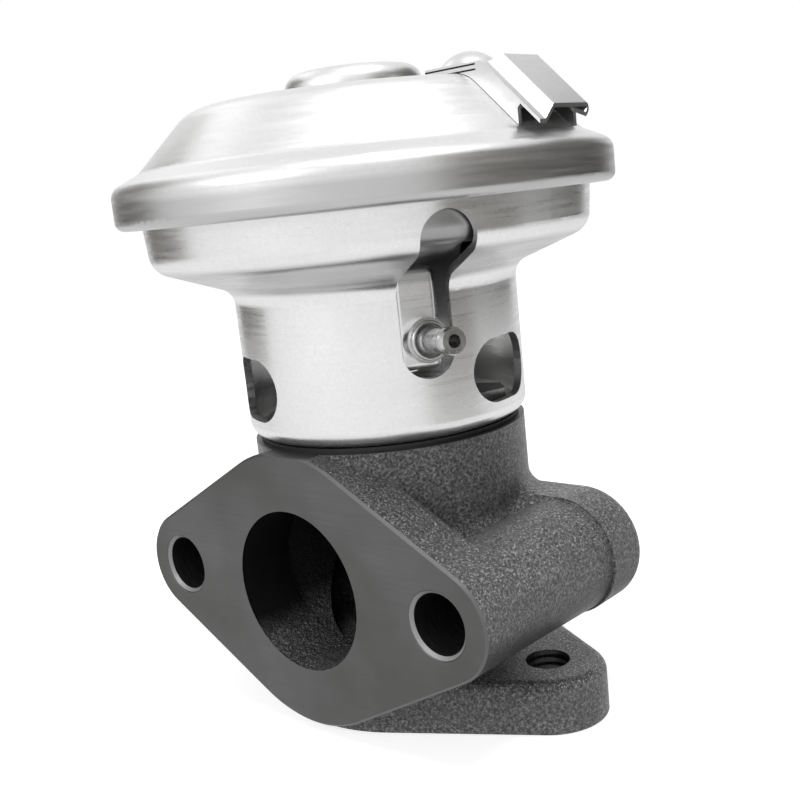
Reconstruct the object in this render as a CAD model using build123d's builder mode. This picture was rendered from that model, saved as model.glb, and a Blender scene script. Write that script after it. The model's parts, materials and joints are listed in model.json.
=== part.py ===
from build123d import *
import math
import os

# EGR valve: a cast-iron valve body carries a pressed-steel cup, a vacuum can and a clip bracket.
# The valve's axis is Z. The origin is the centre of the lower flange's machined face.
# The gas inlet flange faces -Y. Plan angles are in degrees, counter-clockwise from +X. Lengths are in mm.

# Valve body casting
base_thickness = 7.9
base_hub_radius = 22.2
base_lobe_radius = 8.8
base_bolt_spacing = 55.4
base_thread_core_radius = 3.4
base_edge = 1.8
inlet_axis_height = 22.6
inlet_face_distance = 24.4
inlet_flange_thickness = 8.0
inlet_hub_radius = 21.6
inlet_lobe_radius = 8.5
inlet_bolt_spacing = 55.4
inlet_bolt_hole_radius = 4.5
inlet_edge = 0.4
hole_chamfer = 0.6
gas_bore_radius = 12.55
gas_bore_depth = 10.0
gas_bore_wall = 5.0
cast_step = 0.35
chamber_step = 0.65
barrel_length = 39.6
barrel_radius = 9.1
collar_radius = 9.3
collar_length = 9.0
collar_edge = 2.5
web_height_above_axis = 6.4
web_depth_below_axis = 6.6
web_ramp = 5.0
web_blend = 3.0
neck_height_above_axis = 21.0
neck_inset = 0.5
neck_fillet = 2.5
pilot_radius = 9.4
pilot_height = 3.4

# Port, seat, guide and deflector
port_radius = 12.0
port_depth = 4.5
seat_outer_radius = 11.0
seat_bore_radius = 8.0
seat_height = 3.4
seat_recess = 0.8
seat_cone = 1.3
seat_ledge = 1.4
guide_radius = 6.0
guide_below_roof = 6.5
guide_above_pilot = 2.4
deflector_radius = 8.0
deflector_height = 2.4
deflector_sheet = 0.7

# Valve stem and head
stem_radius = 3.0
stem_thread_radius = 2.5
stem_end = 0.6
head_rim = 1.0
head_land = 0.6

# Lower shell: the cup and the bowl drawn in one piece, heights counted from the cup's bottom
shell_sheet = 1.2
cup_radius = 22.4
cup_corner = 2.5
gasket_thickness = 0.7
gasket_inset = 0.9
flare_height = 23.2
flare_slope = 20.7
flare_radius = 3.0
bowl_draft = 0.6
bowl_corner = 3.5
bowl_lip_corner = 0.35
crimp_height = 34.2
keyhole_angle = -29.0
keyhole_width = 8.0
keyhole_height = 9.2
keyhole_below_crimp = 1.1
window_angle = 8.0
window_count = 3
window_length = 14.7
window_width = 9.7
window_height = 8.4

# Screws that hold the cup to the neck
screw_count = 3
screw_angle = 16.0
screw_inset = 5.9
screw_radius = 2.5
screw_depth = 9.0
screw_head_flats = 8.0
screw_head_height = 3.4
screw_flange_radius = 4.4
screw_flange = 0.8

# Inner housing, vacuum duct and nipple
housing_sheet = 1.0
housing_gap = 0.9
housing_depth = 5.9
housing_corner = 3.0
well_radius = 14.0
well_height = 10.7
well_corner = 2.0
seal_radius = 5.2
seal_collar_radius = 6.8
seal_collar = 1.2
seal_below = 1.6
duct_angle = -30.0
duct_radius = 2.8
duct_gap = 0.6
duct_wall = 1.0
duct_rise = 7.2
duct_bend = 3.2
nipple_height = 5.2
nipple_angle = -22.0
nipple_tilt = 3.5
nipple_collar_radius = 3.3
nipple_collar_reach = 4.4
nipple_reach = 12.2
nipple_radius = 2.0
nipple_neck_radius = 1.8
nipple_hole_radius = 0.95
nipple_seat_depth = 2.0
nipple_bead = 1.6
nipple_ramp = 0.6
nipple_ring = 0.8
nipple_ring_radius = 2.9

# Spring, diaphragm and plates
wire_radius = 0.9
wire_ground = 0.35
spring_inset = 3.6
spring_turns = 6
spring_seat_thickness = 1.0
spring_seat_margin = 1.5
diaphragm_sheet = 0.8
diaphragm_rise = 5.5
diaphragm_roll = 1.2
bead_width = 2.2
lower_plate_inset = 6.8
upper_plate_inset = 1.5
plate_sheet = 1.2
plate_rim = 1.8
plate_corner = 1.5
nut_flats = 10.0
nut_height = 2.6

# Cover with its crimped rim, heights counted from the crimp
cover_sheet = 1.2
cover_rim_radius = 38.7
cover_band = 6.05
cover_ring_slope = 25.0
cover_ring_width = 4.4
cover_cone_width = 8.6
cover_shoulder = 6.0
cover_crease = 2.0
cover_rim_corner = 2.2
crimp_width = 3.4
crimp_corner = 1.4
vent_hole_radius = 2.0
cap_radius = 10.7
cap_height = 4.0
cap_edge = 2.6
cap_sheet = 1.0

# Clip bracket, placed from the corner between the cover's flat top and its cone
bracket_near = -4.4
bracket_far = 9.6
bracket_plate = 0.7
bracket_overhang = 2.0
bracket_length = 9.4
bracket_foot = 4.0
bracket_drop = 5.9
arm_sheet = 0.4
arm_overhang = 3.4
arm_shoulder = 0.3
arm_lip = 1.3
arm_step = 2.2
arm_width = 9.5
arm_rise = 1.8
arm_fold = 1.8
arm_return = 3.1
arm_hem = 0.5
rivet_inset = 2.4
rivet_radius = 2.0
rivet_head_radius = 4.4
rivet_head_height = 2.4
rivet_tail_radius = 2.6
rivet_tail = 1.0

# Clearances
slip = 0.02
running = 0.04
seat_gap = 0.1
trim_gap = 0.05
flange_gap = 0.25
crimp_gap = 0.4

os.makedirs("parts", exist_ok=True)


def save(piece, label):
    piece.label = label
    export_step(piece, f"parts/{label}.step")


def on_circle(radius, angle, height=0.0):
    return Vector(radius, 0, 0).rotate(Axis.Z, angle) + Vector(0, 0, height)


# Levels and radii of the casting that follow from the sizes above
neck_top = inlet_axis_height + neck_height_above_axis
neck_radius = cup_radius - neck_inset
barrel_rear = barrel_length - inlet_face_distance
passage_radius = gas_bore_radius + gas_bore_wall
chamber_radius = gas_bore_radius + chamber_step
chamber_top = inlet_axis_height + chamber_radius
chamber_floor = inlet_axis_height - gas_bore_radius
web_top = inlet_axis_height + web_height_above_axis
web_bottom = inlet_axis_height - web_depth_below_axis
collar_top = inlet_axis_height + collar_radius
seat_top = chamber_floor - seat_recess
seat_bottom = seat_top - seat_height
pilot_top = neck_top + pilot_height
guide_bottom = chamber_top - guide_below_roof
guide_top = pilot_top + guide_above_pilot
screw_circle = neck_radius - screw_inset

# Levels and radii of the can
cup_bottom = neck_top + gasket_thickness
cup_floor = cup_bottom + shell_sheet
flare_bottom = cup_bottom + flare_height
crimp_bottom = cup_bottom + crimp_height
crimp_lip_radius = cover_rim_radius - crimp_width
bowl_rim_radius = crimp_lip_radius - crimp_gap
bowl_corner_radius = bowl_rim_radius - bowl_draft
bowl_corner_level = flare_bottom + (bowl_corner_radius - cup_radius) * math.tan(math.radians(flare_slope))
keyhole_bottom = cup_bottom + keyhole_height
keyhole_top = crimp_bottom - keyhole_below_crimp
shell_flange = crimp_bottom + cover_sheet
housing_flange = shell_flange + shell_sheet
bead_bottom = housing_flange + housing_sheet
flange_radius = cover_rim_radius - cover_sheet - flange_gap
housing_radius = bowl_rim_radius - shell_sheet - housing_gap
housing_floor = crimp_bottom - housing_depth
well_floor = cup_bottom + well_height
spring_radius = well_radius - spring_inset
spring_bottom = well_floor + housing_sheet + spring_seat_thickness
lower_plate_radius = housing_radius - lower_plate_inset
upper_plate_radius = lower_plate_radius - upper_plate_inset
diaphragm_level = bead_bottom + diaphragm_rise
plate_bottom = diaphragm_level - plate_sheet
nipple_level = keyhole_bottom + nipple_height
duct_level = nipple_level + duct_rise
duct_circle = well_radius + duct_gap + duct_radius
ring_slope = math.tan(math.radians(cover_ring_slope))
crease_radius = cover_rim_radius - cover_ring_width
top_radius = crease_radius - cover_cone_width
rim_shoulder = crimp_bottom + cover_band
crease_level = rim_shoulder + cover_ring_width * ring_slope
cover_top = crease_level + cover_cone_width


# Lower flange of the casting: two tapped holes, rounded top edge
with BuildPart() as lower_flange:
    with BuildSketch():
        Circle(base_hub_radius)
        with GridLocations(base_bolt_spacing, 0, 2, 1):
            Circle(base_lobe_radius)
        make_hull()
    extrude(amount=base_thickness)
    fillet(lower_flange.edges().group_by(Axis.Z)[-1], base_edge)

# Inlet flange of the casting: the machined face keeps a crisp, barely broken edge
inlet_centre = (0, inlet_axis_height)
inlet_plane = Plane.XZ.offset(inlet_face_distance)
with BuildPart() as inlet_flange:
    with BuildSketch(inlet_plane):
        with Locations(inlet_centre):
            Circle(inlet_hub_radius)
            with GridLocations(inlet_bolt_spacing, 0, 2, 1):
                Circle(inlet_lobe_radius)
        make_hull()
    extrude(amount=-inlet_flange_thickness)
    chamfer(inlet_flange.faces().sort_by(Axis.Y)[0].edges(), inlet_edge)

# Bolt barrels: two tapered barrels that run back from the inlet flange
barrel_start = barrel_rear - collar_length / 2
barrel_run = inlet_face_distance - inlet_flange_thickness + barrel_start
barrel_taper = math.degrees(math.atan((barrel_radius - inlet_lobe_radius) / barrel_run))
with BuildPart() as bolt_barrels:
    with BuildSketch(Plane.XZ.offset(-barrel_start)):
        with Locations(inlet_centre):
            with GridLocations(inlet_bolt_spacing, 0, 2, 1):
                Circle(barrel_radius)
    extrude(amount=barrel_run, taper=barrel_taper)

# Rear bar: the barrels' collars, joined over the top
with BuildPart() as rear_bar:
    with BuildSketch(Plane.XZ.offset(-barrel_rear)):
        with Locations(inlet_centre):
            with GridLocations(inlet_bolt_spacing, 0, 2, 1):
                Circle(collar_radius)
            Rectangle(inlet_bolt_spacing, collar_radius, align=(Align.CENTER, Align.MIN))
    extrude(amount=collar_length)
    fillet(rear_bar.faces().sort_by(Axis.Y)[-1].edges(), collar_edge)

# Neck on the webs that tie the barrels to the body and climb to the bar, its root rounded
web_front = inlet_flange_thickness - inlet_face_distance
web_rear = barrel_rear - collar_edge
bar_front = barrel_rear - collar_length
with BuildPart() as neck:
    with BuildSketch(Plane.YZ):
        with BuildLine():
            FilletPolyline(
                (web_front, web_top),
                (bar_front - web_ramp, web_top),
                (bar_front, collar_top),
                (web_rear, collar_top),
                radius=web_blend,
            )
            Polyline(
                (web_rear, collar_top),
                (web_rear, web_bottom),
                (web_front, web_bottom),
                (web_front, web_top),
            )
        make_face()
    extrude(amount=inlet_bolt_spacing / 2, both=True)
    with BuildSketch(Plane.XY.offset(web_bottom)):
        Circle(neck_radius)
    extrude(amount=neck_top - web_bottom)
    neck_root = neck.edges().filter_by(
        lambda edge: min((edge @ 0).Z, (edge @ 1).Z) > web_top - slip
        and edge.center().Z < collar_top + slip
        and all(
            abs(math.hypot(point.X, point.Y) - neck_radius) < slip
            for point in (edge @ 0, edge @ 0.5, edge @ 1)
        )
    )
    fillet(neck_root, neck_fillet)

# Gas chamber under the neck: a short cylinder with a domed roof
with BuildPart() as gas_chamber:
    with BuildSketch(Plane.XY.offset(chamber_floor)):
        Circle(chamber_radius)
    extrude(amount=gas_bore_radius)
    with Locations((0, 0, inlet_axis_height)):
        Sphere(chamber_radius)

# Valve body: flanges, barrels and webs joined by the gas passage and the neck
with BuildPart() as valve_body:
    add(neck.part)
    add(rear_bar.part)
    add(bolt_barrels.part)
    add(inlet_flange.part)
    add(lower_flange.part)
    with BuildSketch():
        Circle(passage_radius)
    extrude(amount=inlet_axis_height)
    with Locations((0, 0, inlet_axis_height)):
        Sphere(passage_radius)
    with BuildSketch(inlet_plane.offset(-inlet_edge)):
        with Locations(inlet_centre):
            Circle(passage_radius)
    extrude(amount=-(inlet_face_distance - inlet_edge))
    # The neck and the top of the inlet flange are faced off level, round the pilot that centres the cup
    with BuildSketch(Plane.XY.offset(neck_top)):
        Rectangle(2 * inlet_hub_radius, 3 * inlet_hub_radius)
    extrude(amount=inlet_hub_radius, mode=Mode.SUBTRACT)
    with BuildSketch(Plane.XY.offset(neck_top)):
        Circle(pilot_radius)
    extrude(amount=pilot_height)
    # Gas way: in through the bored mouth, round the cast chamber and down through the seat to the port
    add(gas_chamber.part, mode=Mode.SUBTRACT)
    with BuildSketch(inlet_plane):
        with Locations(inlet_centre):
            Circle(gas_bore_radius)
    extrude(amount=-gas_bore_depth, mode=Mode.SUBTRACT)
    with BuildSketch(inlet_plane.offset(-gas_bore_depth)):
        with Locations(inlet_centre):
            Circle(gas_bore_radius + cast_step)
    extrude(amount=gas_bore_depth - inlet_face_distance, mode=Mode.SUBTRACT)
    with BuildSketch():
        Circle(port_radius)
    extrude(amount=port_depth, mode=Mode.SUBTRACT)
    with BuildSketch():
        Circle(seat_outer_radius + slip)
    extrude(amount=seat_top + slip, mode=Mode.SUBTRACT)
    with BuildSketch():
        Circle(seat_outer_radius - seat_ledge)
    extrude(amount=inlet_axis_height - gas_bore_radius / 2, mode=Mode.SUBTRACT)
    # Bore for the stem guide
    with BuildSketch(Plane.XY.offset(inlet_axis_height)):
        Circle(guide_radius + slip)
    extrude(amount=pilot_top - inlet_axis_height, mode=Mode.SUBTRACT)
    # Bolt holes of both flanges and the tapped holes for the cup's screws
    with BuildSketch(inlet_plane):
        with Locations(inlet_centre):
            with GridLocations(inlet_bolt_spacing, 0, 2, 1):
                Circle(inlet_bolt_hole_radius)
    extrude(amount=-barrel_length, mode=Mode.SUBTRACT)
    with BuildSketch():
        with GridLocations(base_bolt_spacing, 0, 2, 1):
            Circle(base_thread_core_radius)
    extrude(amount=base_thickness, mode=Mode.SUBTRACT)
    bolt_mouths = valve_body.edges().filter_by(GeomType.CIRCLE).filter_by(
        lambda edge: abs(edge.radius - inlet_bolt_hole_radius) < slip
    )
    chamfer(bolt_mouths.group_by(Axis.Y)[0], hole_chamfer)
    with BuildSketch(Plane.XY.offset(neck_top)):
        with PolarLocations(screw_circle, screw_count, start_angle=screw_angle):
            Circle(screw_radius + slip)
    extrude(amount=-screw_depth, mode=Mode.SUBTRACT)
save(valve_body.part, "valve_body")

# Seat ring, pressed in from below, with a 45 degree seat on its lower inner edge
with BuildPart() as valve_seat:
    with BuildSketch(Plane.XY.offset(seat_bottom)):
        Circle(seat_outer_radius)
        Circle(seat_bore_radius, mode=Mode.SUBTRACT)
    extrude(amount=seat_height)
    chamfer(valve_seat.faces().sort_by(Axis.Z)[0].inner_wires().edges(), seat_cone)
save(valve_seat.part, "valve_seat")

# Stem guide bush
with BuildPart() as stem_guide:
    with BuildSketch(Plane.XY.offset(guide_bottom)):
        Circle(guide_radius)
        Circle(stem_radius + running, mode=Mode.SUBTRACT)
    extrude(amount=guide_top - guide_bottom)
    chamfer(stem_guide.faces().sort_by(Axis.Z)[-1].outer_wire().edges(), hole_chamfer)
save(stem_guide.part, "stem_guide")

# Soot deflector: a pressed cup on the lower end of the guide
with BuildPart() as soot_deflector:
    with BuildSketch(Plane.XZ):
        with BuildLine():
            FilletPolyline(
                (guide_radius + slip, guide_bottom + deflector_height),
                (deflector_radius, guide_bottom + deflector_height),
                (deflector_radius, guide_bottom),
                radius=deflector_sheet * 2,
            )
            offset(amount=deflector_sheet, side=Side.RIGHT)
        make_face()
    revolve(axis=Axis.Z)
save(soot_deflector.part, "soot_deflector")

# Heat gasket between the neck and the cup
with BuildPart() as neck_gasket:
    with BuildSketch(Plane.XY.offset(neck_top)):
        Circle(neck_radius - gasket_inset)
        Circle(pilot_radius + slip, mode=Mode.SUBTRACT)
        with PolarLocations(screw_circle, screw_count, start_angle=screw_angle):
            Circle(screw_radius + slip, mode=Mode.SUBTRACT)
    extrude(amount=gasket_thickness)
save(neck_gasket.part, "neck_gasket")

# Lower shell: bowl, flare and cup drawn from one sheet, then pierced
with BuildPart() as lower_shell:
    with BuildSketch(Plane.XZ):
        with BuildLine():
            FilletPolyline(
                (flange_radius, shell_flange),
                (bowl_rim_radius, shell_flange),
                (bowl_corner_radius, bowl_corner_level),
                (cup_radius, flare_bottom),
                (cup_radius, cup_bottom),
                (pilot_radius + slip, cup_bottom),
                radius=[bowl_lip_corner, bowl_corner, flare_radius, cup_corner],
            )
            offset(amount=shell_sheet, side=Side.RIGHT, kind=Kind.INTERSECTION)
        make_face()
    revolve(axis=Axis.Z)
    # Keyhole that shows the duct, one slot through cup, flare and bowl
    keyhole_way = on_circle(1, keyhole_angle)
    keyhole_plane = Plane(origin=(0, 0, 0), x_dir=on_circle(1, keyhole_angle + 90), z_dir=keyhole_way)
    with BuildSketch(keyhole_plane):
        with Locations((0, (keyhole_top + keyhole_bottom) / 2)):
            SlotOverall(keyhole_top - keyhole_bottom, keyhole_width, rotation=90)
    extrude(amount=cover_rim_radius, mode=Mode.SUBTRACT)
    # Cooling windows
    for step in range(window_count):
        angle = window_angle + step * 360 / window_count
        window_plane = Plane(origin=(0, 0, 0), x_dir=on_circle(1, angle + 90), z_dir=on_circle(1, angle))
        with BuildSketch(window_plane):
            with Locations((0, cup_bottom + window_height)):
                SlotOverall(window_length, window_width)
        extrude(amount=bowl_rim_radius, mode=Mode.SUBTRACT)
    with BuildSketch(Plane.XY.offset(cup_bottom)):
        with PolarLocations(screw_circle, screw_count, start_angle=screw_angle):
            Circle(screw_radius + slip)
    extrude(amount=shell_sheet, mode=Mode.SUBTRACT)
save(lower_shell.part, "lower_shell")

# Screws of the cup: hexagon heads with a flange
with BuildPart() as cup_screws:
    with BuildSketch(Plane.XY.offset(cup_floor)):
        with PolarLocations(screw_circle, screw_count, start_angle=screw_angle):
            Circle(screw_radius)
    extrude(amount=-(shell_sheet + gasket_thickness + screw_depth - screw_radius))
    with BuildSketch(Plane.XY.offset(cup_floor)):
        with PolarLocations(screw_circle, screw_count, start_angle=screw_angle):
            Circle(screw_flange_radius)
    extrude(amount=screw_flange)
    with BuildSketch(Plane.XY.offset(cup_floor + screw_flange)):
        with PolarLocations(screw_circle, screw_count, start_angle=screw_angle):
            RegularPolygon(screw_head_flats / 2, 6, major_radius=False)
    extrude(amount=screw_head_height - screw_flange)
save(cup_screws.part, "cup_screws")

# Inner housing: the lower half of the vacuum can, with a well for the spring
with BuildPart() as inner_housing:
    with BuildSketch(Plane.XZ):
        with BuildLine():
            FilletPolyline(
                (flange_radius, housing_flange),
                (housing_radius, housing_flange),
                (housing_radius, housing_floor),
                (well_radius, housing_floor),
                (well_radius, well_floor),
                (seal_radius + slip, well_floor),
                radius=[bowl_lip_corner, housing_corner, housing_corner, well_corner],
            )
            offset(amount=housing_sheet, side=Side.RIGHT, kind=Kind.INTERSECTION)
        make_face()
    revolve(axis=Axis.Z)
    with BuildSketch(Plane(origin=(0, 0, duct_level), z_dir=on_circle(1, duct_angle))):
        Circle(duct_radius + slip)
    extrude(amount=duct_circle, mode=Mode.SUBTRACT)
save(inner_housing.part, "inner_housing")

# Vacuum duct: an elbow out of the well, down to the nipple's collar
nipple_root = on_circle(duct_circle, duct_angle, nipple_level)
tilt = math.radians(nipple_tilt)
nipple_way = on_circle(math.cos(tilt), nipple_angle, math.sin(tilt))
nipple_plane = Plane(origin=nipple_root, z_dir=nipple_way)
duct_plane = Plane(origin=(0, 0, 0), x_dir=on_circle(1, duct_angle), z_dir=on_circle(1, duct_angle - 90))
with BuildPart() as vacuum_duct:
    with BuildLine(duct_plane) as duct_path:
        FilletPolyline(
            (well_radius - housing_sheet, duct_level),
            (duct_circle, duct_level),
            (duct_circle, nipple_level),
            radius=duct_bend,
        )
    duct_mouth = Plane(origin=duct_path.line @ 0, z_dir=duct_path.line % 0)
    with BuildSketch(duct_mouth):
        Circle(duct_radius)
    sweep(path=duct_path.line)
    with Locations(nipple_root):
        Sphere(nipple_collar_radius)
    with BuildSketch(nipple_plane):
        Circle(nipple_collar_radius)
    extrude(amount=nipple_collar_reach)
    with BuildSketch(duct_mouth):
        Circle(duct_radius - duct_wall)
    sweep(path=duct_path.line, mode=Mode.SUBTRACT)
    with BuildSketch(nipple_plane):
        Circle(nipple_hole_radius)
    extrude(amount=nipple_collar_reach, mode=Mode.SUBTRACT)
    with BuildSketch(nipple_plane.offset(nipple_collar_reach)):
        Circle(nipple_radius + slip)
    extrude(amount=-nipple_seat_depth, mode=Mode.SUBTRACT)
save(vacuum_duct.part, "vacuum_duct")

# Vacuum nipple: a turned tube with a hose bead at its tip
nipple_foot = nipple_collar_reach - nipple_seat_depth
with BuildPart() as vacuum_nipple:
    with BuildSketch(Plane(origin=nipple_root, x_dir=nipple_way, z_dir=nipple_plane.x_dir)):
        with BuildLine():
            Polyline(
                (nipple_foot, nipple_hole_radius),
                (nipple_foot, nipple_radius),
                (nipple_collar_reach + nipple_ring, nipple_radius),
                (nipple_collar_reach + nipple_ring + nipple_ramp, nipple_neck_radius),
                (nipple_reach - nipple_bead - nipple_ramp, nipple_neck_radius),
                (nipple_reach - nipple_bead, nipple_radius),
                (nipple_reach - nipple_ramp, nipple_radius),
                (nipple_reach, nipple_neck_radius),
                (nipple_reach, nipple_hole_radius),
                close=True,
            )
        make_face()
    revolve(axis=Axis(nipple_root, nipple_way))
save(vacuum_nipple.part, "vacuum_nipple")

# Ring that is swaged against the collar round the nipple
with BuildPart() as swage_ring:
    with BuildSketch(nipple_plane.offset(nipple_collar_reach)):
        Circle(nipple_ring_radius)
        Circle(nipple_radius + slip, mode=Mode.SUBTRACT)
    extrude(amount=nipple_ring)
    fillet(swage_ring.edges().filter_by(GeomType.CIRCLE).sort_by(SortBy.LENGTH)[-2:], nipple_ring / 3)
save(swage_ring.part, "swage_ring")

# Stem seal in the floor of the well
with BuildPart() as stem_seal:
    with BuildSketch(Plane.XY.offset(well_floor - seal_below)):
        Circle(seal_radius)
    extrude(amount=seal_below + housing_sheet)
    with BuildSketch(Plane.XY.offset(well_floor + housing_sheet)):
        Circle(seal_collar_radius)
    extrude(amount=seal_collar)
    with BuildSketch(Plane.XY.offset(well_floor - seal_below)):
        Circle(stem_radius + running)
    extrude(amount=seal_below + housing_sheet + seal_collar, mode=Mode.SUBTRACT)
save(stem_seal.part, "stem_seal")

# Spring seat washer and return spring with ground ends
with BuildPart() as spring_seat:
    with BuildSketch(Plane.XY.offset(well_floor + housing_sheet)):
        Circle(spring_radius + spring_seat_margin)
        Circle(spring_radius - spring_seat_margin, mode=Mode.SUBTRACT)
    extrude(amount=spring_seat_thickness)
save(spring_seat.part, "spring_seat")

coil_rise = plate_bottom - spring_bottom - 2 * wire_ground
with BuildPart() as return_spring:
    with BuildLine(Plane.XY.offset(spring_bottom + wire_ground)) as coil:
        Helix(coil_rise / spring_turns, coil_rise, spring_radius)
    with BuildSketch(Plane(origin=coil.line @ 0, z_dir=coil.line % 0)):
        Circle(wire_radius)
    sweep(path=coil.line, is_frenet=True)
    split(bisect_by=Plane.XY.offset(spring_bottom), keep=Keep.TOP)
    split(bisect_by=Plane.XY.offset(plate_bottom), keep=Keep.BOTTOM)
save(return_spring.part, "return_spring")

# Valve head: a disc with a 45 degree face that closes up against the seat ring
head_face = seat_bottom + seat_bore_radius + seat_cone - seat_gap * math.sqrt(2)
head_radius = seat_bore_radius + seat_cone
head_neck = seat_bore_radius - head_land
with BuildPart() as valve_head:
    with BuildSketch(Plane.XZ):
        with BuildLine():
            Polyline(
                (stem_radius + slip, head_face - head_radius - head_rim),
                (head_radius, head_face - head_radius - head_rim),
                (head_radius, head_face - head_radius),
                (head_neck, head_face - head_neck),
                (stem_radius + slip, head_face - head_neck),
                close=True,
            )
        make_face()
    revolve(axis=Axis.Z)
save(valve_head.part, "valve_head")

# Valve stem: rod with a shouldered, threaded end for the plates and the nut
stem_bottom = head_face - head_radius - head_rim
nut_bottom = diaphragm_level + diaphragm_sheet + plate_sheet
with BuildPart() as valve_stem:
    with BuildSketch(Plane.XY.offset(stem_bottom)):
        Circle(stem_radius)
    extrude(amount=plate_bottom - stem_bottom)
    with BuildSketch(Plane.XY.offset(plate_bottom)):
        Circle(stem_thread_radius)
    extrude(amount=nut_bottom + nut_height + stem_end - plate_bottom)
    chamfer(valve_stem.edges().group_by(Axis.Z)[-1], stem_end / 2)
save(valve_stem.part, "valve_stem")

# Lower plate: a pressed dish that carries the diaphragm and takes the spring
with BuildPart() as lower_plate:
    with BuildSketch(Plane.XZ):
        with BuildLine():
            FilletPolyline(
                (stem_thread_radius + slip, diaphragm_level),
                (lower_plate_radius, diaphragm_level),
                (lower_plate_radius, diaphragm_level - plate_rim),
                radius=plate_corner,
            )
            offset(amount=plate_sheet, side=Side.RIGHT)
        make_face()
    revolve(axis=Axis.Z)
save(lower_plate.part, "lower_plate")

# Upper plate: clamps the diaphragm from above, rim turned up
with BuildPart() as upper_plate:
    with BuildSketch(Plane.XZ):
        with BuildLine():
            FilletPolyline(
                (stem_thread_radius + slip, diaphragm_level + diaphragm_sheet),
                (upper_plate_radius, diaphragm_level + diaphragm_sheet),
                (upper_plate_radius, diaphragm_level + diaphragm_sheet + plate_rim),
                radius=plate_corner,
            )
            offset(amount=plate_sheet, side=Side.LEFT)
        make_face()
    revolve(axis=Axis.Z)
save(upper_plate.part, "upper_plate")

# Nut that clamps both plates to the stem
with BuildPart() as stem_nut:
    with BuildSketch(Plane.XY.offset(nut_bottom)):
        RegularPolygon(nut_flats / 2, 6, major_radius=False)
        Circle(stem_thread_radius + slip, mode=Mode.SUBTRACT)
    extrude(amount=nut_height)
save(stem_nut.part, "stem_nut")

# Diaphragm: flat middle, sloping wall and a wedge bead clamped at the rim
bead_inner_radius = crease_radius
bead_outer_radius = crease_radius + bead_width
ring_thickness = (cover_sheet + trim_gap) / math.cos(math.radians(cover_ring_slope))
bead_outer_top = rim_shoulder + (cover_rim_radius - bead_outer_radius) * ring_slope - ring_thickness
bead_inner_top = rim_shoulder + (cover_rim_radius - bead_inner_radius) * ring_slope - ring_thickness
with BuildPart() as diaphragm:
    with BuildSketch(Plane.XZ):
        with BuildLine():
            FilletPolyline(
                (stem_thread_radius + slip, diaphragm_level),
                (lower_plate_radius + diaphragm_roll, diaphragm_level),
                (bead_inner_radius - diaphragm_roll, bead_bottom + diaphragm_sheet),
                (bead_inner_radius + diaphragm_sheet, bead_bottom + diaphragm_sheet),
                radius=diaphragm_sheet * 1.5,
            )
            offset(amount=diaphragm_sheet, side=Side.LEFT)
        make_face()
        with BuildLine():
            Polyline(
                (bead_inner_radius, bead_bottom),
                (bead_outer_radius, bead_bottom),
                (bead_outer_radius, bead_outer_top),
                (bead_inner_radius, bead_inner_top),
                close=True,
            )
        make_face()
    revolve(axis=Axis.Z)
save(diaphragm.part, "diaphragm")

# Upper cover: flat top, rounded shoulder, cone and ring, with its rim rolled under the bowl's flange
cover_path = [
    (top_radius, cover_top),
    (crease_radius, crease_level),
    (cover_rim_radius, rim_shoulder),
    (cover_rim_radius, crimp_bottom),
]
cover_corners = [cover_shoulder, cover_crease, cover_rim_corner, crimp_corner]
bracket_bend = top_radius + bracket_overhang
bracket_start = bracket_bend - bracket_length
rivet_place = (bracket_start + rivet_inset, (bracket_near + bracket_far) / 2)
with BuildPart() as upper_cover:
    with BuildSketch(Plane.XZ):
        with BuildLine():
            FilletPolyline(
                (vent_hole_radius, cover_top),
                *cover_path,
                (crimp_lip_radius, crimp_bottom),
                radius=cover_corners,
            )
            offset(amount=cover_sheet, side=Side.RIGHT, kind=Kind.INTERSECTION)
        make_face()
    revolve(axis=Axis.Z)
    with BuildSketch(Plane.XY.offset(cover_top)):
        with Locations(rivet_place):
            Circle(rivet_radius + slip)
    extrude(amount=-2 * cover_sheet, mode=Mode.SUBTRACT)
save(upper_cover.part, "upper_cover")

# Vent cap in the middle of the cover
with BuildPart() as vent_cap:
    with BuildSketch(Plane.XZ):
        with BuildLine():
            FilletPolyline(
                (0, cover_top + cap_height),
                (cap_radius, cover_top + cap_height),
                (cap_radius, cover_top),
                radius=cap_edge,
            )
            offset(amount=cap_sheet, side=Side.RIGHT)
        make_face()
    revolve(axis=Axis.Z)
save(vent_cap.part, "vent_cap")

# The cover's outer form, used only to trim the bracket's feet to it
with BuildPart() as cover_form:
    with BuildSketch(Plane.XZ):
        with BuildLine():
            FilletPolyline((0, cover_top), *cover_path, (0, crimp_bottom), radius=cover_corners)
            Line((0, crimp_bottom), (0, cover_top))
        make_face()
    revolve(axis=Axis.Z)

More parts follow.
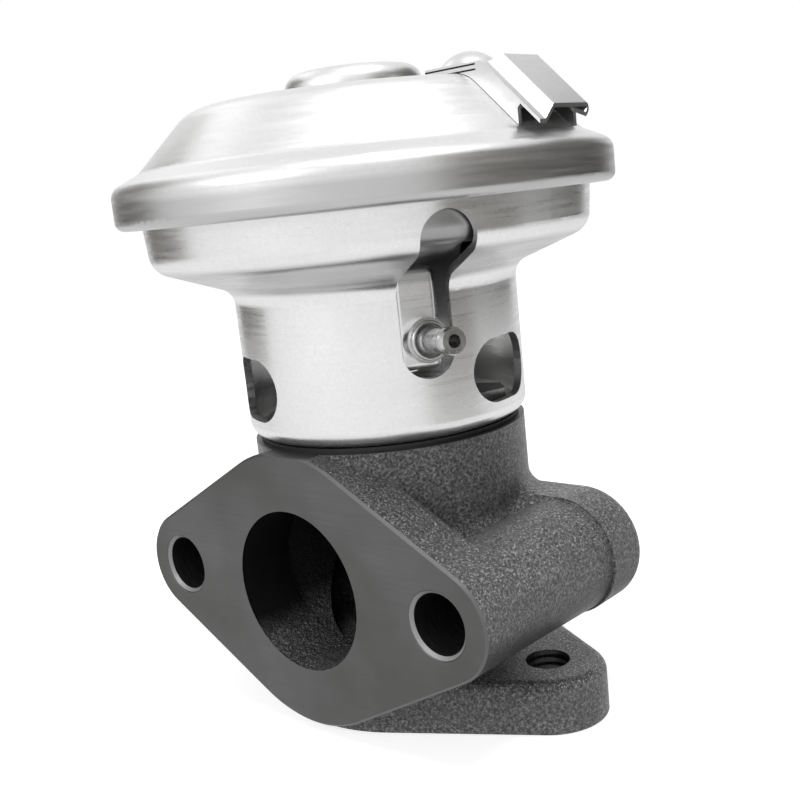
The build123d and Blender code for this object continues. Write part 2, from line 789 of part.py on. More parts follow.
# Bracket base: a plate on the cover's top that bends down over the cone, with two feet trimmed to the cover
bracket_plane = Plane.XZ.offset(-bracket_near)
bracket_width = bracket_far - bracket_near
bracket_end = bracket_bend + bracket_drop
bracket_end_level = cover_top - bracket_drop
with BuildPart() as bracket_base:
    with BuildSketch(bracket_plane):
        with BuildLine():
            FilletPolyline(
                (bracket_start, cover_top),
                (bracket_bend, cover_top),
                (bracket_end, bracket_end_level),
                radius=bracket_plate,
            )
            offset(amount=bracket_plate, side=Side.LEFT)
        make_face()
    extrude(amount=-bracket_width)
    for foot in (bracket_plane, bracket_plane.offset(bracket_plate - bracket_width)):
        with BuildSketch(foot):
            with BuildLine():
                Polyline(
                    (bracket_bend - bracket_foot, cover_top),
                    (bracket_bend, cover_top),
                    (bracket_end, bracket_end_level),
                    (bracket_end, crease_level),
                    (bracket_bend - bracket_foot, crease_level),
                    close=True,
                )
            make_face()
        extrude(amount=-bracket_plate)
    add(cover_form.part.moved(Location((0, 0, trim_gap * math.sqrt(2)))), mode=Mode.SUBTRACT)
    with BuildSketch(Plane.XY.offset(cover_top)):
        with Locations(rivet_place):
            Circle(rivet_radius + slip)
    extrude(amount=2 * bracket_plate, mode=Mode.SUBTRACT)
save(bracket_base.part, "bracket_base")

# Bracket arm: a thinner plate on the base, whose leg carries the raised clip channel
arm_bottom = cover_top + bracket_plate
arm_bend = bracket_bend + bracket_plate * math.tan(math.radians(22.5))
arm_end = bracket_end + arm_overhang
arm_cut = Plane.YZ.offset(arm_end)
leg_length = 2 * (arm_end - arm_bend)
leg_plane = Plane(origin=(arm_bend, 0, arm_bottom), x_dir=(0, 1, 0), z_dir=(1, 0, -1))
channel_start = bracket_near + arm_lip
channel_edge = channel_start + arm_step + arm_width
with BuildPart() as bracket_arm:
    with BuildSketch(bracket_plane):
        with BuildLine():
            FilletPolyline(
                (bracket_start, arm_bottom),
                (arm_bend, arm_bottom),
                (arm_bend + leg_length, arm_bottom - leg_length),
                radius=2 * bracket_plate,
            )
            offset(amount=arm_sheet, side=Side.LEFT)
        make_face()
    extrude(amount=-bracket_width)
    with BuildSketch(leg_plane.offset(arm_shoulder)):
        with Locations((channel_start - arm_lip / 2, 0)):
            Rectangle(bracket_width, 2 * arm_rise, align=(Align.MIN, Align.CENTER))
    extrude(amount=leg_length, mode=Mode.SUBTRACT)
    with BuildSketch(leg_plane.offset(arm_shoulder)):
        with BuildLine():
            FilletPolyline(
                (channel_start - arm_lip / 2, arm_sheet),
                (channel_start, arm_sheet),
                (channel_start + arm_step, arm_rise),
                (channel_edge, arm_rise),
                (channel_edge - arm_fold, arm_sheet + trim_gap),
                (channel_edge - arm_fold - arm_return, arm_rise - 2 * arm_sheet - trim_gap),
                radius=[arm_sheet, 2 * arm_sheet, arm_hem, arm_hem],
            )
            offset(amount=arm_sheet, side=Side.RIGHT)
        make_face()
    extrude(amount=leg_length)
    split(bisect_by=arm_cut, keep=Keep.BOTTOM)
    with BuildSketch(Plane.XY.offset(arm_bottom)):
        with Locations(rivet_place):
            Circle(rivet_radius + slip)
    extrude(amount=2 * arm_sheet, mode=Mode.SUBTRACT)
save(bracket_arm.part, "bracket_arm")

# Rivet through bracket and cover
rivet_seat = arm_bottom + arm_sheet
rivet_end = cover_top - cover_sheet - rivet_tail
rivet_dome = (rivet_head_radius**2 + rivet_head_height**2) / (2 * rivet_head_height)
with BuildPart() as bracket_rivet:
    with BuildSketch(Plane.XZ):
        with BuildLine():
            Polyline(
                (0, rivet_seat + rivet_head_height),
                (0, rivet_end),
                (rivet_tail_radius, rivet_end),
                (rivet_tail_radius, rivet_end + rivet_tail),
                (rivet_radius, rivet_end + rivet_tail),
                (rivet_radius, rivet_seat),
                (rivet_head_radius, rivet_seat),
            )
            RadiusArc((rivet_head_radius, rivet_seat), (0, rivet_seat + rivet_head_height), -rivet_dome)
        make_face()
    revolve(axis=Axis.Z)
save(bracket_rivet.part.moved(Location((*rivet_place, 0))), "bracket_rivet")
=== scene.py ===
import json
import math

import bpy
from mathutils import Matrix, Vector


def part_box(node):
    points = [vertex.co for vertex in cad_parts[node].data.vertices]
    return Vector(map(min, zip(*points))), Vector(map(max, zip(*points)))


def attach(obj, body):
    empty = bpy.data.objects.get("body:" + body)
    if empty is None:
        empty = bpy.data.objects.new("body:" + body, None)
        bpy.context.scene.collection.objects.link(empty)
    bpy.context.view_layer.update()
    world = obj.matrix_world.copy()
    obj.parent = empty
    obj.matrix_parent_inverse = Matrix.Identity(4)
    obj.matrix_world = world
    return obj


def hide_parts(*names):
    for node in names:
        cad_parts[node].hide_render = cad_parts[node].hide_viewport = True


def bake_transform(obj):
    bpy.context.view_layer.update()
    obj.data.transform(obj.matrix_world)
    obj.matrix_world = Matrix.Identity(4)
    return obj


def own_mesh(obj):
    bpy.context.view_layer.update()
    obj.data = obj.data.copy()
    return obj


# EGR valve, dressed round its CAD frame: cast iron below, satin zinc-coated sheet steel above
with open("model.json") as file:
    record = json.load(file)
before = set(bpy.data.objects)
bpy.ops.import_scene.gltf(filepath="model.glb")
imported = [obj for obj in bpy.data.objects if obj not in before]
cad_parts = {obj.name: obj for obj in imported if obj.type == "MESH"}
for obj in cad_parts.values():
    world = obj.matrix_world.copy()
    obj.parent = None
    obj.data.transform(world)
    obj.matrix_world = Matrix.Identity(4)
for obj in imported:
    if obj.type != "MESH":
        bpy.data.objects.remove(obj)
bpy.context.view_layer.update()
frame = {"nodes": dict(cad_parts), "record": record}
nodes = frame["nodes"]

MM = 0.001

# Places on the valve, read from the frame where it states them
mounts = {mount["name"]: mount for mount in frame["record"]["mounts"]}
INLET_FACE = mounts["inlet_face"]["pos_m"][1]
INLET_HEIGHT = mounts["inlet_bolts"]["pos_m"][2]
BOLT_X = mounts["inlet_bolts"]["dims"]["spacing_x_mm"] / 2 * MM
INLET_HOLE_RADIUS = mounts["inlet_bolts"]["dims"]["hole_r_mm"] * MM
BASE_BOLT_X = mounts["base_bolts"]["dims"]["spacing_x_mm"] / 2 * MM
BASE_HOLE_RADIUS = mounts["base_bolts"]["dims"]["hole_r_mm"] * MM
BORE_RADIUS = mounts["gas_inlet"]["dims"]["r_mm"] * MM
BORE_DEPTH = mounts["gas_inlet"]["dims"]["length_mm"] * MM
NECK_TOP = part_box("neck_gasket")[0].z
COVER_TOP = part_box("vent_cap")[0].z
ARM_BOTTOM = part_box("bracket_base")[1].z
BASE_TOP = 7.9 * MM
FLANGE_EDGE = 0.42 * MM
CHAMFER_WIDTH = 0.45 * MM
CHAMFER_DEPTH = 0.62 * MM
THREAD_PITCH = 1.25 * MM
GAS_TOP = INLET_HEIGHT + BORE_RADIUS

# Slack within which a surface still counts as part of a face or a hole, and the bore's floor,
# which keeps a cast tone amid the gas way's painted shade: where it starts and is full below the
# bore's axis, and how ragged its edge is
SLACK = 0.05 * MM
FLOOR_TONE_START = -6 * MM
FLOOR_TONE_FULL = -10 * MM
FLOOR_TONE_RAGGED = 6 * MM

# Sheet parts: where the bracket folds up, the levels of the flare and the rim, the rim's inner
# radius, the soft edge of a band of painted light and reflection, and half the height of the
# painted shade in the gaps between the bracket's plates and the cover
BRACKET_BEND_X = 27.2 * MM
FLARE_LOW = 67.4 * MM
FLARE_HIGH = 72.0 * MM
RIM_LOW = 78.4 * MM
RIM_HIGH = 82.3 * MM
RIM_INNER = 37.5 * MM
BAND_BLUR = 0.4 * MM
GAP_SHADE_REACH = 0.12 * MM

# Vacuum duct behind the keyhole: its plan angle, and its faces in mm,
# by distance from the valve's axis, by side and by height
DUCT_ANGLE = math.radians(-30)
DUCT_BACK = 14.6
DUCT_FRONT = 20.6
DUCT_LEFT = -3.75
DUCT_RIGHT = 3.0
DUCT_LOW = 54.6
DUCT_HIGH = 69.4
NIPPLE_PLACE = Vector(mounts["vacuum_nipple"]["pos_m"])
NIPPLE_WAY = Vector(mounts["vacuum_nipple"]["axis"])
EYELET_BACK = 6.7 * MM

# Eyelet's section: distance along the nipple and radius, in mm
EYELET_PROFILE = (
    (0.0, 2.05),
    (0.25, 2.05),
    (0.25, 2.35),
    (0.45, 2.42),
    (0.7, 2.48),
    (0.78, 2.6),
    (0.74, 2.76),
    (0.6, 2.86),
    (0.35, 2.9),
    (0.0, 2.9),
)
EYELET_STEPS = 96

# Camera that took the photograph
CAMERA_PLACE = Vector((0.11976, -0.12531, 0.07997))
CAMERA_AZIMUTH = math.radians(43.046)
CAMERA_PITCH = math.radians(10.818)
CAMERA_ROLL = math.radians(-6.107)
CAMERA_LENS = 48.59

# Studio: what the camera, reflections and bounced light meet on the floor, and the sky's strength
FLOOR_GLOW = 0.72
FLOOR_SHOWN = 1.03
FLOOR_SEEN = 0.8
FLOOR_REFLECTED = 0.3
FLOOR_BOUNCE = 0.32
FLOOR_DROP = 0.2 * MM
CARD_TINT = (1.0, 0.96, 0.88)
SKY = 0.36
WHITE = (1.0, 1.0, 1.0, 1.0)
LAMP_TARGET = Vector((0, 0, 50 * MM))


def grey(tone):
    return (tone, tone, tone, 1.0)


class Shader:
    """A material's node tree with a Principled shader, and short ways to add nodes to it."""

    def __init__(self, name):
        self.material = bpy.data.materials.new(name)
        self.material.use_nodes = True
        self.tree = self.material.node_tree
        self.principled = self.tree.nodes["Principled BSDF"]
        self.coordinates = self.add("ShaderNodeTexCoord").outputs["Object"]

    def add(self, kind, **settings):
        node = self.tree.nodes.new(kind)
        for key, value in settings.items():
            setattr(node, key, value)
        return node

    def link(self, source, target):
        self.tree.links.new(source, target)

    def feed(self, socket, value):
        if isinstance(value, bpy.types.NodeSocket):
            self.link(value, socket)
        else:
            socket.default_value = value

    def math(self, operation, a, b=0.0, clamp=False):
        node = self.add("ShaderNodeMath", operation=operation, use_clamp=clamp)
        self.feed(node.inputs[0], a)
        self.feed(node.inputs[1], b)
        return node.outputs[0]

    def stretch(self, scale):
        node = self.add("ShaderNodeMapping")
        self.link(self.coordinates, node.inputs["Vector"])
        node.inputs["Scale"].default_value = scale
        return node.outputs["Vector"]

    def noise(self, scale, detail=2.0, roughness=0.5, vector=None):
        node = self.add("ShaderNodeTexNoise")
        self.link(vector or self.coordinates, node.inputs["Vector"])
        node.inputs["Scale"].default_value = scale
        node.inputs["Detail"].default_value = detail
        node.inputs["Roughness"].default_value = roughness
        return node.outputs["Fac"]

    def cells(self, scale):
        node = self.add("ShaderNodeTexVoronoi")
        self.link(self.coordinates, node.inputs["Vector"])
        node.inputs["Scale"].default_value = scale
        return node.outputs["Distance"]

    def ramp(self, value, stops):
        node = self.add("ShaderNodeValToRGB")
        self.link(value, node.inputs["Fac"])
        elements = node.color_ramp.elements
        while len(elements) < len(stops):
            elements.new(0.5)
        for element, (place, colour) in zip(elements, stops):
            element.position = place
            element.color = (*colour, 1.0) if isinstance(colour, tuple) else grey(colour)
        return node.outputs["Color"]

    def span(self, value, low, high, to_low, to_high):
        node = self.add("ShaderNodeMapRange")
        for socket, number in zip(node.inputs, (value, low, high, to_low, to_high)):
            self.feed(socket, number)
        return node.outputs["Result"]

    def blend(self, factor, a, b):
        node = self.add("ShaderNodeMix", data_type="RGBA")
        self.feed(node.inputs[0], factor)
        self.feed(node.inputs[6], a)
        self.feed(node.inputs[7], b)
        return node.outputs[2]

    def bump(self, height, distance, strength=1.0):
        node = self.add("ShaderNodeBump")
        self.link(height, node.inputs["Height"])
        node.inputs["Distance"].default_value = distance
        node.inputs["Strength"].default_value = strength
        return node.outputs["Normal"]

    def place(self):
        node = self.add("ShaderNodeSeparateXYZ")
        self.link(self.coordinates, node.inputs[0])
        return node.outputs["X"], node.outputs["Y"], node.outputs["Z"]

    def facing_up(self):
        """1 where the surface faces up, 0 where it is upright, -1 where it faces down."""
        node = self.add("ShaderNodeSeparateXYZ")
        self.link(self.add("ShaderNodeNewGeometry").outputs["Normal"], node.inputs[0])
        return node.outputs["Z"]

    def finish(self, colour, metallic, roughness, normal=None):
        self.feed(self.principled.inputs["Base Color"], colour)
        self.feed(self.principled.inputs["Metallic"], metallic)
        self.feed(self.principled.inputs["Roughness"], roughness)
        if normal is not None:
            self.link(normal, self.principled.inputs["Normal"])
        return self.material


def away_from(shader, a, b):
    """Distance from the line on which both offsets are 0."""
    squares = [shader.math("MULTIPLY", offset, offset) for offset in (a, b)]
    return shader.math("SQRT", shader.math("ADD", *squares))


def all_of(shader, *masks):
    result = masks[0]
    for mask in masks[1:]:
        result = shader.math("MULTIPLY", result, mask)
    return result


def any_of(shader, *masks):
    result = masks[0]
    for mask in masks[1:]:
        result = shader.math("MAXIMUM", result, mask)
    return result


def cast_iron():
    """Shot-blasted iron skin, milled faces, drilled holes and a gas way in painted shade."""
    shader = Shader("cast iron")
    x, y, z = shader.place()
    up = shader.math("SUBTRACT", z, INLET_HEIGHT)
    along = shader.math("SUBTRACT", y, INLET_FACE)
    grain = shader.noise(2400, 4.0, 0.8)
    glint_spots = shader.span(shader.noise(3400, 2.0, 0.6), 0.58, 0.66, 0.0, 1.0)
    lumps = shader.noise(900, 2.0, 0.5)
    mottle = shader.noise(95, 4.0, 0.6)

    # Skin of the casting
    facing = shader.facing_up()
    # Painted shade: surfaces that face down are darkened towards near black
    clear_of_painted_shade = shader.span(facing, -0.5, -0.05, 0.0, 1.0)
    skin = shader.ramp(grain, [(0.36, 0.05), (0.5, 0.17), (0.64, 0.46)])
    skin = shader.blend(shader.span(clear_of_painted_shade, 0.0, 1.0, 0.95, 0.0), skin, (0.03, 0.028, 0.026, 1.0))
    skin = shader.blend(shader.span(mottle, 0.4, 0.7, 0.0, 0.35), skin, (0.1, 0.1, 0.105, 1.0))
    # Painted glints: bright specks in the colour, only on surfaces that face up
    glint = all_of(shader, glint_spots, shader.span(facing, 0.1, 0.6, 0.0, 0.9))
    skin = shader.blend(glint, skin, (0.85, 0.85, 0.87, 1.0))

    # Milled faces: inlet flange, base and neck
    face = shader.math("LESS_THAN", along, SLACK)
    rim = shader.math("LESS_THAN", along, FLANGE_EDGE)
    rim = shader.math("SUBTRACT", rim, face, clamp=True)
    below = shader.math("LESS_THAN", z, SLACK)
    above = shader.math("GREATER_THAN", z, NECK_TOP - SLACK)
    cutter = shader.noise(1.0, 2.0, 0.6, shader.stretch((70, 400, 2000)))
    stain = shader.noise(45, 3.0, 0.55)
    metal = shader.ramp(cutter, [(0.3, 0.13), (0.7, 0.145)])
    metal = shader.blend(shader.span(stain, 0.4, 0.65, 0.0, 0.8), metal, (0.095, 0.095, 0.092, 1.0))
    metal = shader.blend(rim, metal, grey(0.15))

    # Bolt holes with a bright chamfer, and the tapped holes of the base
    beside = shader.math("SUBTRACT", shader.math("ABSOLUTE", x), BOLT_X)
    bolt_away = away_from(shader, beside, up)
    mouth = all_of(
        shader,
        shader.math("LESS_THAN", bolt_away, INLET_HOLE_RADIUS + CHAMFER_WIDTH),
        shader.math("LESS_THAN", along, CHAMFER_DEPTH),
        shader.math("GREATER_THAN", along, 0.03 * MM),
    )
    drilled = shader.math("LESS_THAN", bolt_away, INLET_HOLE_RADIUS + SLACK)
    base_beside = shader.math("SUBTRACT", shader.math("ABSOLUTE", x), BASE_BOLT_X)
    base_away = away_from(shader, base_beside, y)
    tapped = all_of(
        shader,
        shader.math("LESS_THAN", base_away, BASE_HOLE_RADIUS + 0.1 * MM),
        shader.math("LESS_THAN", z, BASE_TOP - 0.02 * MM),
    )
    drill_marks = shader.noise(1.0, 2.0, 0.6, shader.stretch((300, 3000, 300)))
    hole_wall = shader.ramp(drill_marks, [(0.3, 0.05), (0.7, 0.1)])
    metal = shader.blend(any_of(shader, drilled, tapped), metal, hole_wall)
    metal = shader.blend(mouth, metal, grey(0.42))

    # Gas way in painted shade: a near-black bore, smooth above and in a cast tone on its floor,
    # then the rough cast chamber, also near black
    bore_away = away_from(shader, x, up)
    bore = all_of(
        shader,
        shader.math("LESS_THAN", bore_away, BORE_RADIUS + SLACK),
        shader.math("GREATER_THAN", along, 0.02 * MM),
        shader.math("LESS_THAN", along, BORE_DEPTH),
    )
    passage = all_of(
        shader,
        shader.math("LESS_THAN", bore_away, BORE_RADIUS + 0.5 * MM),
        shader.math("GREATER_THAN", along, BORE_DEPTH - 0.02 * MM),
        shader.math("LESS_THAN", y, 0.0),
    )
    chamber = all_of(
        shader,
        shader.math("LESS_THAN", away_from(shader, x, y), BORE_RADIUS + 0.8 * MM),
        shader.math("GREATER_THAN", z, 0.1 * MM),
        shader.math("LESS_THAN", z, GAS_TOP + 2 * MM),
    )
    ragged = shader.math("MULTIPLY", shader.math("SUBTRACT", stain, 0.5), FLOOR_TONE_RAGGED)
    level = shader.math("ADD", up, ragged)
    floor_tone_share = shader.span(level, FLOOR_TONE_START, FLOOR_TONE_FULL, 0.0, 1.0)
    bore_floor = shader.math("MULTIPLY", bore, floor_tone_share)
    cavity = any_of(shader, passage, chamber, bore_floor)
    bore_floor_tone = shader.ramp(grain, [(0.35, 0.06), (0.52, 0.16), (0.66, 0.5)])
    # Painted shade: the gas way is near black, save its floor, which keeps a cast tone
    gasway_shade = shader.blend(floor_tone_share, shader.ramp(grain, [(0.35, 0.012), (0.7, 0.04)]), bore_floor_tone)
    bore_wall_shade = shader.ramp(stain, [(0.3, 0.03), (0.7, 0.05)])

    # All of it together, with the thread of the base's holes as a bump
    milled = any_of(shader, face, rim, mouth, drilled, tapped, below, above)
    colour = shader.blend(milled, skin, metal)
    # Painted shade: the bore's wall and the cavity are near black
    colour = shader.blend(bore, colour, bore_wall_shade)
    colour = shader.blend(cavity, colour, gasway_shade)
    smooth = shader.math("SUBTRACT", any_of(shader, milled, bore), bore_floor, clamp=True)
    metallic = shader.span(milled, 0.0, 1.0, 0.65, 0.85)
    metallic = shader.math("SUBTRACT", metallic, shader.math("MULTIPLY", mouth, 0.6), clamp=True)
    roughness = shader.span(smooth, 0.0, 1.0, 0.3, 0.42)
    rough = shader.math("ADD", grain, shader.math("MULTIPLY", lumps, 0.8))
    rough = shader.math("MULTIPLY", shader.math("SUBTRACT", 1.0, smooth), rough)
    turns = shader.math("MULTIPLY", z, 2 * math.pi / THREAD_PITCH)
    thread = shader.math("MULTIPLY", shader.math("SINE", turns), 1.2)
    thread = shader.math("MULTIPLY", thread, tapped)
    normal = shader.bump(shader.math("ADD", rough, thread), 0.4 * MM, 1.0)
    return shader.finish(colour, metallic, roughness, normal)


def sheet_steel(name, bright, dull, roughness, painted_bands=(), gap_shades=()):
    """Satin, zinc-coated sheet with faint drawing marks round the valve's axis.

    A band (low, high, inner radius, tone) is painted light and reflection in that tone; a gap
    shade (level, reach) is painted shade, dark, in a gap between plates.
    """
    shader = Shader(name)
    x, y, z = shader.place()
    cloud = shader.noise(55, 3.0, 0.6)
    marks = shader.noise(1.0, 3.0, 0.6, shader.stretch((90, 90, 1700)))
    spangle = shader.noise(1900, 2.0, 0.6)
    colour = shader.ramp(cloud, [(0.3, dull), (0.7, bright)])
    colour = shader.blend(shader.span(spangle, 0.35, 0.7, 0.0, 0.22), colour, grey(dull * 0.8))
    axis_away = away_from(shader, x, y)
    # Painted light and painted reflection: each band takes its own tone
    for low, high, inner, tone in painted_bands:
        band = all_of(
            shader,
            shader.span(z, low - BAND_BLUR, low + BAND_BLUR, 0.0, 1.0),
            shader.span(z, high - BAND_BLUR, high + BAND_BLUR, 1.0, 0.0),
            shader.math("GREATER_THAN", axis_away, inner),
        )
        colour = shader.blend(band, colour, grey(tone))
    # Painted shade: dark lines in the gaps between the bracket's plates, short of the fold
    for level, reach in gap_shades:
        off_level = shader.math("ABSOLUTE", shader.math("SUBTRACT", z, level))
        gap_shade = shader.math("LESS_THAN", off_level, reach)
        gap_shade = shader.math("MULTIPLY", gap_shade, shader.math("LESS_THAN", x, BRACKET_BEND_X))
        colour = shader.blend(gap_shade, colour, grey(0.03))
    rough = shader.span(marks, 0.3, 0.7, roughness - 0.06, roughness + 0.07)
    normal = shader.bump(spangle, 0.004 * MM, 0.5)
    return shader.finish(colour, 0.95, rough, normal)


def turned_steel(name, tone, roughness, chamber_shade=False):
    """Turned steel; where asked, painted shade makes it near black inside the gas chamber."""
    shader = Shader(name)
    rings = shader.noise(900, 2.0, 0.5)
    colour = shader.ramp(rings, [(0.3, tone * 0.95), (0.7, tone * 1.03)])
    if chamber_shade:
        # Painted shade: near black inside the gas chamber
        inside = shader.math("LESS_THAN", shader.place()[2], GAS_TOP + 1 * MM)
        colour = shader.blend(inside, colour, shader.ramp(rings, [(0.3, 0.02), (0.7, 0.05)]))
    rough = shader.span(rings, 0.3, 0.7, roughness - 0.05, roughness + 0.08)
    return shader.finish(colour, 0.95, rough)


def bronze():
    shader = Shader("sintered bronze")
    pores = shader.cells(2200)
    colour = shader.ramp(pores, [(0.1, (0.25, 0.17, 0.09)), (0.5, (0.5, 0.36, 0.2))])
    return shader.finish(colour, 0.85, 0.5, shader.bump(pores, 0.02 * MM, 0.5))


def rubber(name, tone):
    shader = Shader(name)
    bloom = shader.noise(600, 3.0, 0.6)
    colour = shader.ramp(bloom, [(0.3, tone * 0.8), (0.7, tone * 1.4)])
    return shader.finish(colour, 0.0, 0.62, shader.bump(bloom, 0.02 * MM, 0.5))


finishes = {
    "cast_iron": cast_iron(),
    "valve_steel": turned_steel("valve steel", 0.32, 0.38, chamber_shade=True),
    "guide_bronze": bronze(),
    "gasket_sheet": turned_steel("gasket steel", 0.05, 0.55),
    # Painted reflection: a darker band on the flare
    "zinc_sheet": sheet_steel(
        "zinc sheet", 0.9, 0.84, 0.3, painted_bands=[(FLARE_LOW, FLARE_HIGH, 0.0, 0.58)]
    ),
    # Painted light: a lighter band on the well inside the cup, from the neck to the flare
    "housing_sheet": sheet_steel(
        "housing sheet", 0.44, 0.38, 0.36, painted_bands=[(NECK_TOP, FLARE_HIGH, 0.0, 0.9)]
    ),
    # Painted reflection: a darker band on the rim's outer face
    "cover_sheet": sheet_steel(
        "cover sheet", 0.75, 0.7, 0.36, painted_bands=[(RIM_LOW, RIM_HIGH, RIM_INNER, 0.56)]
    ),
    # Painted shade: dark lines where the arm meets the bracket's base and where the base meets the
    # cover
    "bracket_sheet": sheet_steel(
        "bracket sheet", 0.7, 0.62, 0.34, gap_shades=[(ARM_BOTTOM, GAP_SHADE_REACH), (COVER_TOP, GAP_SHADE_REACH)]
    ),
    "rivet_steel": sheet_steel("rivet steel", 0.72, 0.64, 0.3),
    "screw_steel": turned_steel("screw steel", 0.35, 0.3),
    "nipple_steel": turned_steel("nipple steel", 0.62, 0.26),
    "spring_steel": turned_steel("spring steel", 0.25, 0.35),
    "seal_rubber": rubber("seal rubber", 0.03),
    "diaphragm_rubber": rubber("diaphragm rubber", 0.035),
}

SLOTS = {subpart["node"]: subpart["material_slot"] for subpart in frame["record"]["subparts"]}
for node, slot_name in SLOTS.items():
    nodes[node].data.materials.clear()
    nodes[node].data.materials.append(finishes[slot_name])


def part_mesh(name, body, slot_name, vertices, faces):
    """A smooth-shaded piece of the object, made from vertices and faces."""
    mesh = bpy.data.meshes.new(name)
    mesh.from_pydata(vertices, [], faces)
    mesh.update()
    piece = bpy.data.objects.new(name, mesh)
    bpy.context.scene.collection.objects.link(piece)
    mesh.materials.append(finishes[slot_name])
    for polygon in mesh.polygons:
        polygon.use_smooth = True
    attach(piece, body)
    return piece


def duct_channel():
    """The vacuum duct is pressed from sheet, with a flat, round-edged front behind the keyhole."""
    out = Vector((math.cos(DUCT_ANGLE), math.sin(DUCT_ANGLE), 0))
    along = Vector((-math.sin(DUCT_ANGLE), math.cos(DUCT_ANGLE), 0))
    corners = [
        out * reach * MM + along * side * MM + Vector((0, 0, level * MM))
        for reach in (DUCT_BACK, DUCT_FRONT)
        for side in (DUCT_LEFT, DUCT_RIGHT)
        for level in (DUCT_LOW, DUCT_HIGH)
    ]
    faces = [(0, 1, 3, 2), (4, 6, 7, 5), (0, 4, 5, 1), (2, 3, 7, 6), (0, 2, 6, 4), (1, 5, 7, 3)]
    piece = part_mesh("duct_channel", "housing", "zinc_sheet", corners, faces)
    rounding = piece.modifiers.new("rounding", "BEVEL")
    rounding.width = 1.1 * MM
    rounding.segments = 5
    rounding.limit_method = "NONE"
    rounding.harden_normals = True


def eyelet():
    """A turned-over lip round the nipple, with the dark groove between it and the tube."""
    root = NIPPLE_PLACE - NIPPLE_WAY * EYELET_BACK
    across = NIPPLE_WAY.cross(Vector((0, 0, 1))).normalized()
    upright = across.cross(NIPPLE_WAY)
    vertices = []
    for reach, radius in EYELET_PROFILE:
        for step in range(EYELET_STEPS):
            turn = 2 * math.pi * step / EYELET_STEPS
            swing = (across * math.cos(turn) + upright * math.sin(turn)) * radius
            vertices.append(root + (NIPPLE_WAY * reach + swing) * MM)
    faces = []
    for row in range(len(EYELET_PROFILE)):
        here = row * EYELET_STEPS
        there = (row + 1) % len(EYELET_PROFILE) * EYELET_STEPS
        for step in range(EYELET_STEPS):
            ahead = (step + 1) % EYELET_STEPS
            faces.append((here + step, here + ahead, there + ahead, there + step))
    piece = part_mesh("eyelet", "housing", "nipple_steel", vertices, faces)
    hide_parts("swage_ring")


def break_edges(node, width):
    """Sheet and turned edges are broken, so that they catch a line of light."""
    edges = nodes[node].modifiers.new("broken edges", "BEVEL")
    edges.width = width
    edges.segments = 2
    edges.limit_method = "ANGLE"
    edges.angle_limit = math.radians(50)
    edges.harden_normals = True


def soft_copy(node):
    """A copy of a piece, shown in place of its node."""
    piece = bpy.data.objects.new(f"{node}_in_motion", nodes[node].data.copy())
    bpy.context.scene.collection.objects.link(piece)
    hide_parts(node)
    return piece


def spring_in_motion():
    """A copy of the spring, attached to the housing with a mesh of its own."""
    spring = soft_copy("return_spring")
    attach(spring, "housing")
    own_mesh(spring)


def diaphragm_in_motion():
    """A copy of the diaphragm, with its placing baked into its mesh."""
    skin = soft_copy("diaphragm")
    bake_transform(skin)


spring_in_motion()
diaphragm_in_motion()
duct_channel()
eyelet()
break_edges("vacuum_duct", 0.35 * MM)
break_edges("lower_shell", 0.15 * MM)


def shown_white(tree):
    """1 for camera, glossy and transmission rays, else 0."""
    path = tree.nodes.new("ShaderNodeLightPath")
    shown = path.outputs["Is Camera Ray"]
    for output in ("Is Glossy Ray", "Is Transmission Ray"):
        either = tree.nodes.new("ShaderNodeMath")
        either.operation = "MAXIMUM"
        tree.links.new(shown, either.inputs[0])
        tree.links.new(path.outputs[output], either.inputs[1])
        shown = either.outputs[0]
    return shown


def floor_finish():
    """White for the camera with the object's shadow kept, pale in reflections, grey as a bounce."""
    shader = Shader("floor")
    grain = shader.noise(30, 2.0)
    path = shader.add("ShaderNodeLightPath")
    seen = path.outputs["Is Camera Ray"]
    shown = shown_white(shader.tree)
    plain = shader.ramp(grain, [(0.0, FLOOR_BOUNCE * 0.98), (1.0, FLOOR_BOUNCE * 1.02)])
    colour = shader.blend(shown, plain, grey(FLOOR_REFLECTED))
    colour = shader.blend(seen, colour, grey(FLOOR_SEEN))
    excess = FLOOR_GLOW - (FLOOR_SHOWN - FLOOR_SEEN * SKY)
    glow = shader.math("MULTIPLY", shown, FLOOR_GLOW)
    glow = shader.math("SUBTRACT", glow, shader.math("MULTIPLY", seen, excess))
    shader.finish(colour, 0.0, 0.9)
    shader.link(glow, shader.principled.inputs["Emission Strength"])
    shader.principled.inputs["Emission Color"].default_value = WHITE
    shader.principled.inputs["Specular IOR Level"].default_value = 0.0
    return shader.material


def card_finish(name, tone):
    """A matt, faintly warm card; the camera sees the white background through it."""
    shader = Shader(name)
    weave = shader.noise(200, 2.0)
    stops = [
        (place, tuple(tone * share * tint for tint in CARD_TINT))
        for place, share in ((0.3, 0.9), (0.7, 1.1))
    ]
    shader.finish(shader.ramp(weave, stops), 0.0, 0.9)
    clear = shader.add("ShaderNodeBsdfTransparent")
    path = shader.add("ShaderNodeLightPath")
    either = shader.add("ShaderNodeMixShader")
    shader.link(path.outputs["Is Camera Ray"], either.inputs[0])
    shader.link(shader.principled.outputs[0], either.inputs[1])
    shader.link(clear.outputs[0], either.inputs[2])
    shader.link(either.outputs[0], shader.tree.nodes["Material Output"].inputs["Surface"])
    return shader.material


def stage_plane(name, width, height, place, turn, material):
    bpy.ops.mesh.primitive_plane_add(size=1, location=place, rotation=turn)
    plane = bpy.context.object
    plane.name = name
    plane.scale = (width, height, 1)
    plane.data.materials.append(material)


def card(name, azimuth, distance, width, height, tone):
    """An upright card beside the object, for its metal to reflect."""
    angle = math.radians(azimuth - 90)
    place = (distance * math.cos(angle), distance * math.sin(angle), height / 2)
    turn = (math.pi / 2, 0, angle - math.pi / 2)
    stage_plane(name, width, height, place, turn, card_finish(name, tone))


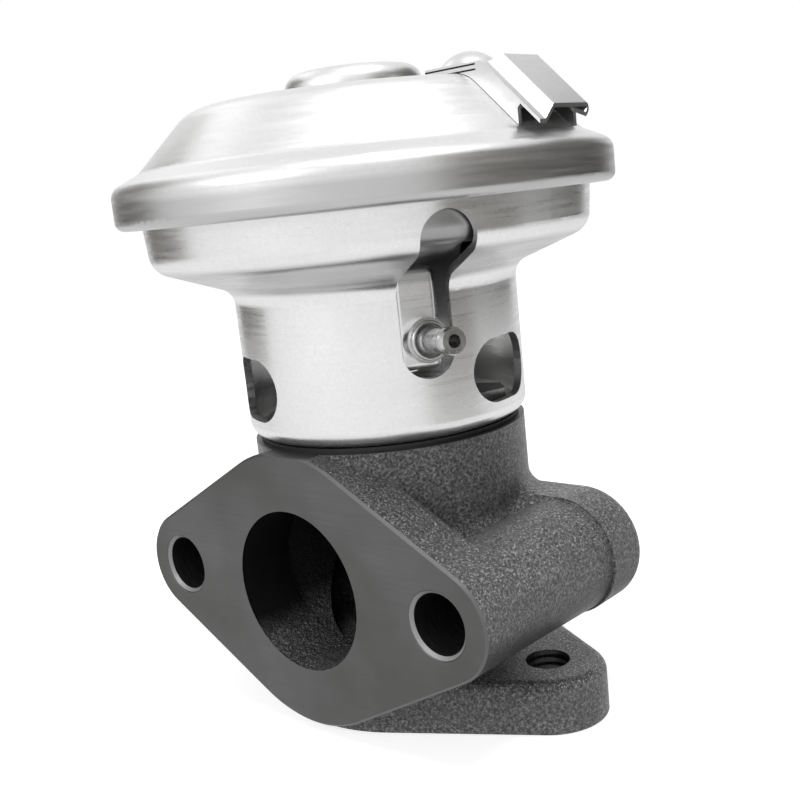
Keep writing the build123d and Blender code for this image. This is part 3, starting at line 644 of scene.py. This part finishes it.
stage_plane("floor", 6.0, 6.0, (0, 0, -FLOOR_DROP), (0, 0, 0), floor_finish())
card("right card", 150, distance=0.5, width=0.6, height=0.5, tone=0.12)
card("near right card", 97, distance=0.26, width=0.22, height=0.3, tone=0.36)
card("left card", -77, distance=0.4, width=0.32, height=0.4, tone=0.3)


def studio_world():
    """An even sky, which the camera and reflections see as white."""
    world = bpy.data.worlds.new("studio")
    bpy.context.scene.world = world
    world.use_nodes = True
    tree = world.node_tree
    background = tree.nodes["Background"]
    background.inputs["Color"].default_value = WHITE
    background.inputs["Strength"].default_value = SKY
    white = tree.nodes.new("ShaderNodeBackground")
    white.inputs["Color"].default_value = WHITE
    white.inputs["Strength"].default_value = 1.0
    mix = tree.nodes.new("ShaderNodeMixShader")
    tree.links.new(shown_white(tree), mix.inputs[0])
    tree.links.new(background.outputs[0], mix.inputs[1])
    tree.links.new(white.outputs[0], mix.inputs[2])
    tree.links.new(mix.outputs[0], tree.nodes["World Output"].inputs["Surface"])


studio_world()


def soft_light(name, place, size, power):
    """A round lamp that points at the middle of the object."""
    data = bpy.data.lights.new(name, "AREA")
    data.shape = "DISK"
    data.size = size
    data.energy = power
    lamp = bpy.data.objects.new(name, data)
    bpy.context.scene.collection.objects.link(lamp)
    lamp.location = place
    back = Vector(place) - LAMP_TARGET
    lamp.rotation_euler = back.to_track_quat("Z", "Y").to_euler()


soft_light("overhead", (0.16, -0.04, 0.6), size=0.28, power=1.7)
soft_light("key", (-0.05, -0.55, 0.35), size=0.35, power=1.0)
soft_light("left", (-0.45, 0.0, 0.45), size=0.35, power=0.18)


def photo_camera():
    back = Vector((
        math.sin(CAMERA_AZIMUTH) * math.cos(CAMERA_PITCH),
        -math.cos(CAMERA_AZIMUTH) * math.cos(CAMERA_PITCH),
        math.sin(CAMERA_PITCH),
    ))
    level = Vector((math.cos(CAMERA_AZIMUTH), math.sin(CAMERA_AZIMUTH), 0))
    upright = back.cross(level)
    right = math.cos(CAMERA_ROLL) * level + math.sin(CAMERA_ROLL) * upright
    up = back.cross(right)
    data = bpy.data.cameras.new("camera")
    data.lens = CAMERA_LENS
    data.clip_start = 0.01
    camera = bpy.data.objects.new("camera", data)
    bpy.context.scene.collection.objects.link(camera)
    turn = Matrix((right, up, back)).transposed().to_4x4()
    camera.matrix_world = Matrix.Translation(CAMERA_PLACE) @ turn
    bpy.context.scene.camera = camera


photo_camera()
bpy.context.scene.view_settings.view_transform = "Standard"
